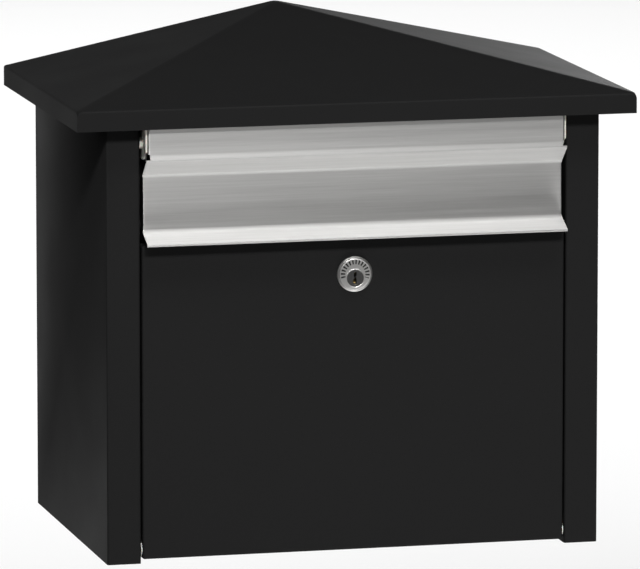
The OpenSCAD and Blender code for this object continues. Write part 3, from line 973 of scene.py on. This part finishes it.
class MAILBOX_OT_mail_flap(bpy.types.Operator):
    """Folds the stainless flap: hemmed lip, plane, inclined band, visor, ears and side returns."""

    bl_idname = "mailbox.mail_flap"
    bl_label = "Mail flap"

    def execute(self, context):
        flap = context.scene.mailbox_flap
        ear_start = flap.visor_half - flap.ear_fold - 0.5 * MM
        sheet = self.sheet(ear_start, flap)
        edit(sheet)
        for side in (-1, 1):
            self.widen(sheet, side, ear_start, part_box("mail_flap")[1].x, flap)
            self.bend_ear(sheet, side, ear_start, flap)
        object_mode()
        face_out(sheet, at(0, *FLAP_FOOT).lerp(at(0, *FLAP_HEAD), 0.5), -Y)
        thicken(sheet, flap.thickness)
        pin_low, pin_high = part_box("flap_pin_right")
        hinge = (pin_low + pin_high) / 2
        for side in (-1, 1):
            spot = Vector((side * flap.visor_half, hinge.y, hinge.z))
            drill(sheet, spot, X * 4 * MM, 3 * MM)
            combine(sheet, self.relief(side, flap), "DIFFERENCE")
        finish_edges(sheet, 0.15 * MM)
        fit_piece(sheet, "flap", "stainless", "mail_flap")
        return {"FINISHED"}

    def sheet(self, half, flap):
        """The middle of the sheet, folded from the hem under the lip up to the visor's top."""
        edge, foot, head = at(0, *LIP_EDGE), at(0, *FLAP_FOOT), at(0, *FLAP_HEAD)
        inward = (foot - edge).normalized()
        under = -inward.cross(X) if inward.cross(X).z > 0 else inward.cross(X)
        hem_edge = edge + under * 2.04 * flap.thickness
        spine = [
            hem_edge + inward * flap.hem, hem_edge, edge, foot, head,
            at(0, *VISOR_TIP), at(0, *VISOR_FOOT), at(0, *VISOR_TOP),
        ]
        folds = [
            0.98 * flap.thickness, 0.98 * flap.thickness, flap.foot_fold, flap.head_fold,
            flap.tip_fold, 0.9 * MM,
        ]
        start = [point - X * half for point in spine]
        return folded("mail_flap_folded", start, X * 2 * half, folds)

    def ends(self, sheet, side, half, low, high):
        """Selects the sheet's end edges between two heights above the foot, in millimetres."""
        return pick(
            sheet, "EDGE",
            lambda middle, edge: edge.is_boundary and same(middle.x, side * half)
            and same(edge.verts[0].co.x, edge.verts[1].co.x)
            and low < (middle.z - FOOT_Z) / MM < high,
        )

    def widen(self, sheet, side, start, half, flap):
        """Draws the part below the visor out to its full width and bends its side return back."""
        self.ends(sheet, side, start, 0, VISOR_TIP[1] + 0.9)
        extrude(X * side * (half - start))
        inset = 1.6
        self.ends(sheet, side, half, FLAP_FOOT[1] + inset, FLAP_HEAD[1] - inset)
        extrude(Y * (FLAP_HEAD[0] + 12) * MM)
        round_edges(
            sheet, 0.9 * MM,
            lambda middle, edge: not edge.is_boundary and same(middle.x, side * half)
            and edge.calc_face_angle(0) > 1,
        )

    def bend_ear(self, sheet, side, start, flap):
        """Bends the visor's end back and shapes it into a hinge ear with round corners."""
        self.ends(sheet, side, start, VISOR_FOOT[1] + 2, VISOR_TOP[1])
        extrude(X * side * (flap.visor_half - start))
        fold_at = at(side * flap.visor_half / MM, VISOR_TOP[0], 0)
        halfway = at(0, 0, (VISOR_FOOT[1] + VISOR_TOP[1]) / 2).z
        # places forward of the columns, and how far the ear's low and high corners move there
        steps = [(5.0, 0, 0), (0.0, -6.3, 0), (-14.0, -6.3, -9.0)]
        before = VISOR_TOP[0]
        for forward, _, _ in steps:
            extrude(Y * (before - forward) * MM)
            before = forward
        for forward, low_shift, high_shift in steps:
            for shift, is_low in ((low_shift, True), (high_shift, False)):
                where = at(0, forward, 0).y
                pick(
                    sheet, "VERT",
                    lambda co: same(co.x, fold_at.x) and same(co.y, where)
                    and (co.z < halfway) == is_low,
                )
                if shift:
                    bpy.ops.transform.translate(value=(0, 0, shift * MM))
        round_edges(
            sheet, flap.ear_fold,
            lambda middle, edge: near(middle.xy, fold_at.xy, 1e-5),
        )
        rear = at(0, steps[-1][0], 0).y
        if pick(sheet, "VERT", lambda co: same(co.x, fold_at.x) and same(co.y, rear)):
            bpy.ops.mesh.bevel(offset=3 * MM, segments=5, affect="VERTICES")

    def relief(self, side, flap):
        """Narrow wedge cut into the visor's top beside the ear's fold."""
        outer = flap.visor_half / MM - 1.4
        top = VISOR_TOP[1]
        outline = [(outer - 1.7, top + 1), (outer, top + 1), (outer, top - 6.5)]
        points = [at(side * x, VISOR_TOP[0] + 1, z) for x, z in outline]
        return cut_plate("relief", points, Y * 3 * MM)


class MAILBOX_OT_flap_fittings(bpy.types.Operator):
    """Hinge pins, nylon bushings and rubber bumpers of the flap."""

    bl_idname = "mailbox.flap_fittings"
    bl_label = "Flap pins, bushings and bumpers"

    def execute(self, context):
        hinge_pins("flap_pin", FLAP_PIN, "flap_hinge")
        bushings(
            "flap_bushings", "flap", (157.7, 158.7, 162.2), (3.0, 4.5, 2.05), "flap_hinge", self.pad
        )
        pair = both_sides("flap_bumpers_moulded", self.bumper())
        fit_piece(pair, "housing", "rubber", "flap_bumpers")
        return {"FINISHED"}

    def pad(self):
        """Flat flange of the bushing that covers the outside of the flap's ear."""
        outline = [
            (8.1, 328.6), (0.4, 328.6), (-12.6, 320.3), (-12.6, 302.0), (0.4, 302.0), (5.2, 307.4),
            (8.1, 307.4),
        ]
        points = [at(158.7, forward, up) for forward, up in outline]
        pad = cut_plate("pad", points, X * 1.2 * MM)
        edit(pad)
        round_edges(pad, 1.6 * MM, lambda middle, edge: 0.5 * MM < edge.calc_length() < 1.3 * MM, 4)
        object_mode()
        return pad

    def bumper(self):
        """Push-in rubber bumper: domed head, neck through the header and a barb behind it."""
        low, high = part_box("flap_bumpers")
        centre = Vector((high.x - BUMPER_HEAD * MM, 0, (low.z + high.z) / 2))
        head_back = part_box("front_header")[0].y
        neck_back = head_back + 1.5 * MM
        profile = [
            (0, low.y), (2.6, low.y), (3.5, low.y + 0.35 * MM), (BUMPER_HEAD, low.y + 1.2 * MM),
            (BUMPER_HEAD, head_back), (BUMPER_NECK, head_back), (BUMPER_NECK, neck_back),
            (3.2, neck_back), (3.0, neck_back + 0.5 * MM), (1.6, high.y), (0, high.y),
        ]
        bumper = turned_on_y("bumper", centre, [(r * MM, y) for r, y in profile], 40)
        finish_edges(bumper, 0)
        return bumper


def hinge_pins(node, radius, joint):
    """A headed pin riveted through each column's return."""
    low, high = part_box(node + "_right")
    place = Vector(JOINTS[joint]["pos_m"])
    head = 1.5 * MM
    profile = [
        (low.x, 0), (low.x, 2.9), (low.x + 0.25 * MM, 3.6), (low.x + 0.8 * MM, 4),
        (low.x + head, 4), (low.x + head, radius), (high.x - head, radius), (high.x - head, 4),
        (high.x - 0.8 * MM, 3.8), (high.x - 0.2 * MM, 2.6), (high.x, 1.2), (high.x, 0),
    ]
    points = [Vector((x, place.y, place.z + r * MM)) for x, r in profile]
    pin = turned(node + "_right_turned", points, (0, place.y, place.z), X, steps=40)
    finish_edges(pin, 0)
    twin = mirrored(node + "_left_turned", pin)
    fit_piece(pin, "housing", "zinc", node + "_right")
    fit_piece(twin, "housing", "zinc", node + "_left")


def bushings(node, body, stations, radii, joint, pad=None):
    """A flanged nylon bushing in the hole on each side, sizes in millimetres."""
    sheet_in, sheet_out, flange_out = stations
    sleeve_r, flange_r, bore_r = radii
    place = Vector(JOINTS[joint]["pos_m"])
    inner = sheet_in - 1
    profile = [
        (inner, bore_r + 0.15), (inner, sleeve_r - 0.3), (inner + 0.3, sleeve_r),
        (sheet_out, sleeve_r), (sheet_out, flange_r - 0.1), (sheet_out + 0.1, flange_r),
        (flange_out - 0.25, flange_r),
        (flange_out, flange_r - 0.25), (flange_out, bore_r + 0.15), (flange_out - 0.15, bore_r),
        (inner + 0.15, bore_r), (inner, bore_r + 0.15),
    ]
    points = [Vector((x * MM, place.y, place.z + r * MM)) for x, r in profile]
    bushing = turned("bushing", points, (0, place.y, place.z), X, steps=40)
    if pad:
        flange = pad()
        hole = rod("hole", place + X * 0.15, place + X * 0.17, (sleeve_r - 0.2) * MM)
        combine(flange, hole, "DIFFERENCE")
        combine(bushing, flange, "UNION")
    finish_edges(bushing, 0.2 * MM if pad else 0)
    pair = both_sides(node + "_moulded", bushing)
    fit_piece(pair, body, "nylon", node)


# ---- door ----


class MAILBOX_OT_door(bpy.types.Operator):
    """Folds the flanged door pan and punches its lock and hinge holes."""

    bl_idname = "mailbox.door"
    bl_label = "Door"

    def execute(self, context):
        sheet = context.scene.mailbox_sheet
        low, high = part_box("door_panel")
        lip = 13 * MM
        width, height = X * (high.x - low.x), Z * (high.z - low.z)
        door = pan("door_panel_folded", low, width, height, Y * lip, closed=True)
        edit(door)
        round_edges(
            door, sheet.bend,
            lambda middle, edge: edge.is_manifold and edge.calc_face_angle(0) > 1,
        )
        pick(
            door, "EDGE",
            lambda middle, edge: same(abs(middle.x), high.x) and same(middle.y, low.y + lip),
        )
        extrude(Y * (high.y - low.y - lip))
        object_mode()
        face_out(door, Vector((0, low.y, 0)), -Y)
        thicken(door, sheet.thickness)
        self.punch(door, low)
        finish_edges(door, sheet.edge)
        fit_piece(door, "door", "coat", "door_panel")
        return {"FINISHED"}

    def punch(self, door, low):
        """Holes for the lock's body, with its two upright flats, and for the hinge's bushings."""
        lock = lock_centre()
        lock.y = low.y
        through = 10 * MM
        hole = rod("hole", lock - Y * through, lock + Y * through, 9.6 * MM, 64)
        flats = bar("flats", lock, 8.35 * MM, 20 * MM, low.y - 2 * through, low.y + 2 * through)
        combine(hole, flats, "INTERSECT")
        combine(door, hole, "DIFFERENCE")
        hinge = Vector(JOINTS["door_hinge"]["pos_m"])
        for side in (-1, 1):
            spot = Vector((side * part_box("door_panel")[1].x, hinge.y, hinge.z))
            drill(door, spot, X * 4 * MM, 3.5 * MM)


class MAILBOX_OT_door_fittings(bpy.types.Operator):
    """Hinge pins, nylon bushings and rubber stops of the door."""

    bl_idname = "mailbox.door_fittings"
    bl_label = "Door pins, bushings and bumpers"

    def execute(self, context):
        hinge_pins("door_pin", DOOR_PIN, "door_hinge")
        bushings("door_bushings", "door", (159.8, 161.3, 162.1), (3.5, 5.5, 2.55), "door_hinge")
        low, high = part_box("door_bumpers")
        radius = (high.z - low.z) / 2
        centre = Vector((high.x - radius, 0, (low.z + high.z) / 2))
        profile = [
            (0, low.y), (radius * 0.45, low.y + 0.05 * MM), (radius * 0.8, low.y + 0.4 * MM),
            (radius * 0.96, low.y + 1.1 * MM), (radius, high.y), (0, high.y),
        ]
        dot = turned_on_y("dot", centre, profile, 40)
        finish_edges(dot, 0)
        pair = both_sides("door_bumpers_moulded", dot)
        fit_piece(pair, "housing", "rubber", "door_bumpers")
        return {"FINISHED"}


# ---- lock ----


def lock_centre():
    """Centre of the lock's face on the door's front."""
    low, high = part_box("lock_nut")
    return Vector(((low.x + high.x) / 2, FRONT_Y, (low.z + high.z) / 2))


class MAILBOX_OT_lock_housing(bpy.types.Operator):
    """Turns the lock's face and threaded body, marks its ring and bores it for the plug."""

    bl_idname = "mailbox.lock_housing"
    bl_label = "Lock housing"

    def execute(self, context):
        lock = context.scene.mailbox_lock
        centre = lock_centre()
        low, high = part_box("lock_housing")
        plug_low, plug_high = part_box("lock_plug")
        plug_r = (plug_high.x - plug_low.x) / 2
        axis = plug_axis()
        face = self.face(centre, low.y, (high.x - low.x) / 2, lock)
        self.mark_ring(face, centre, axis, plug_r + lock.recess, lock)
        body = self.threaded_body(centre, high.y, lock)
        for piece in (face, body):
            start = Vector((axis.x, low.y - 10 * MM, axis.z))
            end = Vector((axis.x, high.y + 10 * MM, axis.z))
            combine(piece, rod("bore", start, end, plug_r + 0.05 * MM, 72), "DIFFERENCE")
        rim = self.rim(axis, low.y, plug_r, lock)
        finish_edges(face, 0)
        finish_edges(body, 0)
        housing = joined("lock_housing_turned", [face, body, rim])
        fit_piece(housing, "door", "lock_face", "lock_housing")
        return {"FINISHED"}

    def face(self, centre, front_y, radius, lock):
        """Face ring with a stepped bevel and a shallow dished band."""
        depth = FRONT_Y - front_y
        # millimetres in from the rim, and shares of the ring's depth above the door
        steps = [
            (0, 0), (0, 0.40), (0.12, 0.50), (0.75, 0.62), (0.95, 0.70), (1.15, 0.92), (1.45, 1),
            (2.0, 1), (2.3, 0.93),
        ]
        profile = [(radius - inward * MM, FRONT_Y - share * depth) for inward, share in steps]
        dish = FRONT_Y - 0.93 * depth
        profile = [(0, FRONT_Y), *profile, ((RING_BAND[0] - 0.1) * MM, dish), (0, dish)]
        return turned_on_y("lock_face", centre, profile, lock.ring_marks)

    def mark_ring(self, face, centre, axis, keep_clear, lock):
        """Sinks every other stretch of the band round the plug, as a plain decorative texture."""
        edit(face)
        band_in, band_out = (radius * MM for radius in RING_BAND)

        def in_band(middle, item):
            flat = Vector((middle.x - centre.x, middle.z - centre.z))
            clear = Vector((middle.x - axis.x, middle.z - axis.z)).length > keep_clear + 1.6 * MM
            turn = math.degrees(math.atan2(flat.x, flat.y)) % 360
            odd = int(turn / 720 * lock.ring_marks + 0.001) % 2 == 0
            return band_in < flat.length < band_out and item.normal.y < -0.9 and clear and odd

        if pick(face, "FACE", in_band):
            bpy.ops.mesh.inset(thickness=0.1 * MM, depth=-0.5 * MM, use_individual=False)
        object_mode()

    def threaded_body(self, centre, back_y, lock):
        """Threaded body behind the door with its two flats."""
        pitch = lock.thread_pitch
        crest, root = LOCK_THREAD * MM, 8.9 * MM
        turns = int((back_y - FRONT_Y) / pitch)
        profile = [(0, FRONT_Y), (crest, FRONT_Y)]
        for i in range(turns):
            y = FRONT_Y + i * pitch
            for radius, share in ((crest, 0.15), (root, 0.5), (crest, 0.85)):
                profile.append((radius, y + share * pitch))
        profile += [(root, back_y), (0, back_y)]
        body = turned_on_y("lock_body", centre, profile, 64)
        past = 10 * MM
        flats = bar("flats", centre, 8.25 * MM, 20 * MM, FRONT_Y - past, back_y + past)
        combine(body, flats, "INTERSECT")
        return body

    def rim(self, axis, front_y, plug_r, lock):
        """Rounded polished rim round the plug."""
        inner = plug_r + 0.08 * MM
        outer = plug_r + lock.recess
        floor = front_y + 0.5 * MM
        top = front_y + 0.02 * MM
        middle = (inner + outer) / 2
        reach = (outer - inner) / 2
        arc = [
            (middle - reach * math.cos(a), top + (floor - top) * (1 - math.sin(a)) * 0.7)
            for a in (math.pi * i / 8 for i in range(9))
        ]
        profile = [(inner, floor), *arc, (outer, floor), (inner, floor)]
        rim = turned_on_y("lock_rim", axis, profile, 72)
        finish_edges(rim, 0)
        return rim


class MAILBOX_OT_lock_plug(bpy.types.Operator):
    """Turns the plug, broaches its warded keyway and squares its tail."""

    bl_idname = "mailbox.lock_plug"
    bl_label = "Lock plug"

    def execute(self, context):
        low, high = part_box("lock_plug")
        axis = plug_axis()
        radius = (high.x - low.x) / 2
        body_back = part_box("lock_housing")[1].y
        profile = [
            (0, low.y + 0.12 * MM), (radius - 0.9 * MM, low.y + 0.05 * MM),
            (radius - 0.45 * MM, low.y), (radius - 0.15 * MM, low.y + 0.08 * MM),
            (radius, low.y + 0.3 * MM), (radius, body_back), (0, body_back),
        ]
        plug = turned_on_y("lock_plug_turned", axis, profile, 72)
        tail = bar("tail", axis, TAIL_HALF * MM, TAIL_HALF * MM, body_back - MM, high.y)
        combine(plug, tail, "UNION")
        combine(plug, self.keyway(axis, low.y), "DIFFERENCE")
        finish_edges(plug, 0.1 * MM, angle=50)
        fit_piece(plug, "lock_barrel", "plug", "lock_plug")
        return {"FINISHED"}

    def keyway(self, axis, front_y):
        """A generic keyway: a straight upright slot with one ward on each side."""
        outline = [
            (-0.35, 4.5), (1.05, 4.5), (1.05, 1.4), (0.45, 0.9), (0.45, 0.2), (1.05, -0.3),
            (1.05, -4.2), (0.3, -4.7), (-0.9, -4.3), (-1.75, -3.2), (-1.75, -1.4), (-1.0, -0.9),
            (-0.35, 0.4), (-1.0, 1.2), (-1.0, 3.2),
        ]
        points = [Vector((axis.x + x * MM, front_y - MM, axis.z + z * MM)) for x, z in outline]
        return cut_plate("keyway", points, Y * 21 * MM)


class MAILBOX_OT_lock_fittings(bpy.types.Operator):
    """Nut, cam, cam screw and wafers of the lock."""

    bl_idname = "mailbox.lock_fittings"
    bl_label = "Lock nut, cam, screw and wafers"

    def execute(self, context):
        self.nut()
        self.cam()
        self.screw()
        for spot in frame["nodes"]["lock_wafers"].material_slots:
            spot.material = finish_of("brass")
        return {"FINISHED"}

    def nut(self):
        """Hexagon nut, bored over the lock's thread."""
        low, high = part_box("lock_nut")
        centre = (low + high) / 2
        front, back = Vector((centre.x, low.y, centre.z)), Vector((centre.x, high.y, centre.z))
        radius = (high.x - low.x) / 2
        nut = rod("lock_nut_milled", front, back, radius, 6)
        edit(nut)
        select_all()
        if not same(nut.bound_box[0][0], low.x, 1e-4):
            bpy.ops.transform.rotate(
                value=math.radians(30), orient_axis="Y", orient_type="GLOBAL",
                center_override=centre,
            )
        object_mode()
        # a cone takes the corners off both ends
        profile = [
            (0, low.y), (radius * 0.9, low.y), (radius * 1.01, low.y + 0.7 * MM),
            (radius * 1.01, high.y - 0.7 * MM), (radius * 0.9, high.y), (0, high.y),
        ]
        combine(nut, turned_on_y("cone", centre, profile, 64), "INTERSECT")
        bore = rod("bore", front - Y * MM, back + Y * MM, LOCK_THREAD * MM, 64)
        combine(nut, bore, "DIFFERENCE")
        finish_edges(nut, 0.15 * MM)
        fit_piece(nut, "door", "zinc", "lock_nut")

    def cam(self):
        """Flat cam with a round root and tip and a square hole on the plug's tail."""
        low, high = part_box("lock_cam")
        axis = plug_axis()
        root, tip = (high.z - low.z) / 2, 5 * MM
        tip_x = high.x - tip
        outline = [
            (axis.x + root * math.sin(a), axis.z + root * math.cos(a))
            for a in (math.pi + math.pi * i / 20 for i in range(21))
        ]
        outline += [(axis.x + 12 * MM, axis.z + root), (axis.x + 18 * MM, axis.z + tip)]
        outline += [
            (tip_x + tip * math.sin(a), axis.z + tip * math.cos(a))
            for a in (math.pi * i / 14 for i in range(15))
        ]
        outline += [(axis.x + 18 * MM, axis.z - tip), (axis.x + 12 * MM, axis.z - root)]
        cam = cut_plate(
            "lock_cam_stamped", [Vector((x, low.y, z)) for x, z in outline], Y * (high.y - low.y)
        )
        square = bar("square", axis, TAIL_HALF * MM, TAIL_HALF * MM, low.y - MM, high.y + MM)
        combine(cam, square, "DIFFERENCE")
        finish_edges(cam, 0.25 * MM)
        fit_piece(cam, "lock_barrel", "zinc", "lock_cam")

    def screw(self):
        """Slotted pan head screw behind the cam."""
        low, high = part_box("cam_screw")
        axis = plug_axis()
        head = (high.x - low.x) / 2
        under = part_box("lock_cam")[1].y
        profile = [
            (0, low.y), (1.9 * MM, low.y), (1.9 * MM, under), (head, under),
            (head, high.y - 1.0 * MM), (head - 0.4 * MM, high.y - 0.35 * MM),
            (head - 1.3 * MM, high.y), (0, high.y),
        ]
        screw = turned_on_y("cam_screw_turned", axis, profile)
        slot = bar("slot", axis, 6 * MM, 0.6 * MM, high.y - MM, high.y + MM)
        combine(screw, slot, "DIFFERENCE")
        finish_edges(screw, 0)
        fit_piece(screw, "lock_barrel", "zinc", "cam_screw")


# ---- studio ----


class MAILBOX_OT_studio(bpy.types.Operator):
    """Pale floor, soft lights and the camera."""

    bl_idname = "mailbox.studio"
    bl_label = "Studio"

    def execute(self, context):
        studio = context.scene.mailbox_studio
        context.scene.view_settings.view_transform = "Standard"
        self.camera(context, studio)
        self.floor(studio)
        self.surroundings(context)
        self.lamp("key", (-0.3, -3.5, 2.3), (0, -0.2, 0), (2.4, 0.5), 7.0, 34)
        self.lamp("top_strip", (0.2, -1.5, 3.2), (0, -0.25, 0), (2.4, 0.8), 4.4, 44)
        self.lamp("low_card", (0.2, -0.8, -1.0), (0, -0.25, 0.1), (1.6, 0.5), 2.3, 60)
        self.lamp("rear_fill", (1.9, 3.0, 0.1), (0, 0, 0.02), (1.2, 0.8), 5, 34)
        self.lamp("backdrop_wash", (0.8, 7.4, 0.62), (0.8, 7.4, 0.0), (9.0, 9.0), 320)
        return {"FINISHED"}

    def camera(self, context, studio):
        deselect()
        bpy.ops.object.camera_add(location=Vector(studio.camera) + Z * FOOT_Z)
        camera = context.active_object
        camera.rotation_euler = (math.pi / 2 - studio.pitch, 0, -studio.yaw)
        camera.data.lens = studio.lens
        camera.data.sensor_width = 36
        camera.data.clip_end = 100
        context.scene.camera = camera

    def floor(self, studio):
        deselect()
        bpy.ops.mesh.primitive_plane_add(size=60, location=(0, 0, FOOT_Z - studio.floor_drop))
        floor = bpy.context.active_object
        floor.name = "studio_floor"
        shade = Shade("studio_floor")
        tone = shade.blend_colours(
            shade.spread(shade.noise(400), 0, 1), (0.89, 0.89, 0.89), (0.91, 0.91, 0.91)
        )
        shade.wire(tone, "Base Color")
        floor.data.materials.append(shade.set(Roughness=0.9).material)

    def surroundings(self, context):
        world = bpy.data.worlds.new("studio")
        world.use_nodes = True
        background = world.node_tree.nodes["Background"]
        background.inputs["Color"].default_value = (1, 1, 1, 1)
        background.inputs["Strength"].default_value = 0.07
        context.scene.world = world

    def lamp(self, name, place, target, size, power, spread=180):
        """A soft light turned to its target, with its width and height and its beam's spread."""
        deselect()
        spot = Vector(place)
        aim = Vector(target) - spot
        bpy.ops.object.light_add(
            type="AREA", location=spot, rotation=aim.to_track_quat("-Z", "Y").to_euler()
        )
        lamp = bpy.context.active_object
        lamp.name = lamp.data.name = name
        lamp.data.shape = "RECTANGLE"
        lamp.data.size, lamp.data.size_y = size
        lamp.data.energy = power
        lamp.data.spread = math.radians(spread)


# ---- the add-on ----

OPERATORS = (
    MAILBOX_OT_side_panels,
    MAILBOX_OT_back_panel,
    MAILBOX_OT_floor_pan,
    MAILBOX_OT_header,
    MAILBOX_OT_roof,
    MAILBOX_OT_roof_fixings,
    MAILBOX_OT_mail_flap,
    MAILBOX_OT_flap_fittings,
    MAILBOX_OT_door,
    MAILBOX_OT_door_fittings,
    MAILBOX_OT_lock_housing,
    MAILBOX_OT_lock_plug,
    MAILBOX_OT_lock_fittings,
    MAILBOX_OT_studio,
)


class MAILBOX_PT_panel(bpy.types.Panel):
    """Lists the mailbox's pieces and their sizes."""

    bl_idname = "MAILBOX_PT_panel"
    bl_label = "Wall mounted mailbox"
    bl_space_type = "VIEW_3D"
    bl_region_type = "UI"
    bl_category = "Mailbox"

    def draw(self, context):
        for group in GROUPS:
            box = self.layout.box()
            settings = getattr(context.scene, group)
            for key in settings.__annotations__:
                box.prop(settings, key)
        for operator in OPERATORS:
            self.layout.operator(operator.bl_idname)


def register():
    for group in GROUPS.values():
        bpy.utils.register_class(group)
    for operator in OPERATORS:
        bpy.utils.register_class(operator)
    bpy.utils.register_class(MAILBOX_PT_panel)
    for name, group in GROUPS.items():
        setattr(bpy.types.Scene, name, PointerProperty(type=group))


def unregister():
    for name in GROUPS:
        delattr(bpy.types.Scene, name)
    bpy.utils.unregister_class(MAILBOX_PT_panel)
    for operator in reversed(OPERATORS):
        bpy.utils.unregister_class(operator)
    for group in reversed(list(GROUPS.values())):
        bpy.utils.unregister_class(group)


def main():
    register()
    for operator in OPERATORS:
        family, name = operator.bl_idname.split(".")
        getattr(getattr(bpy.ops, family), name)()


if __name__ == "__main__":
    main()
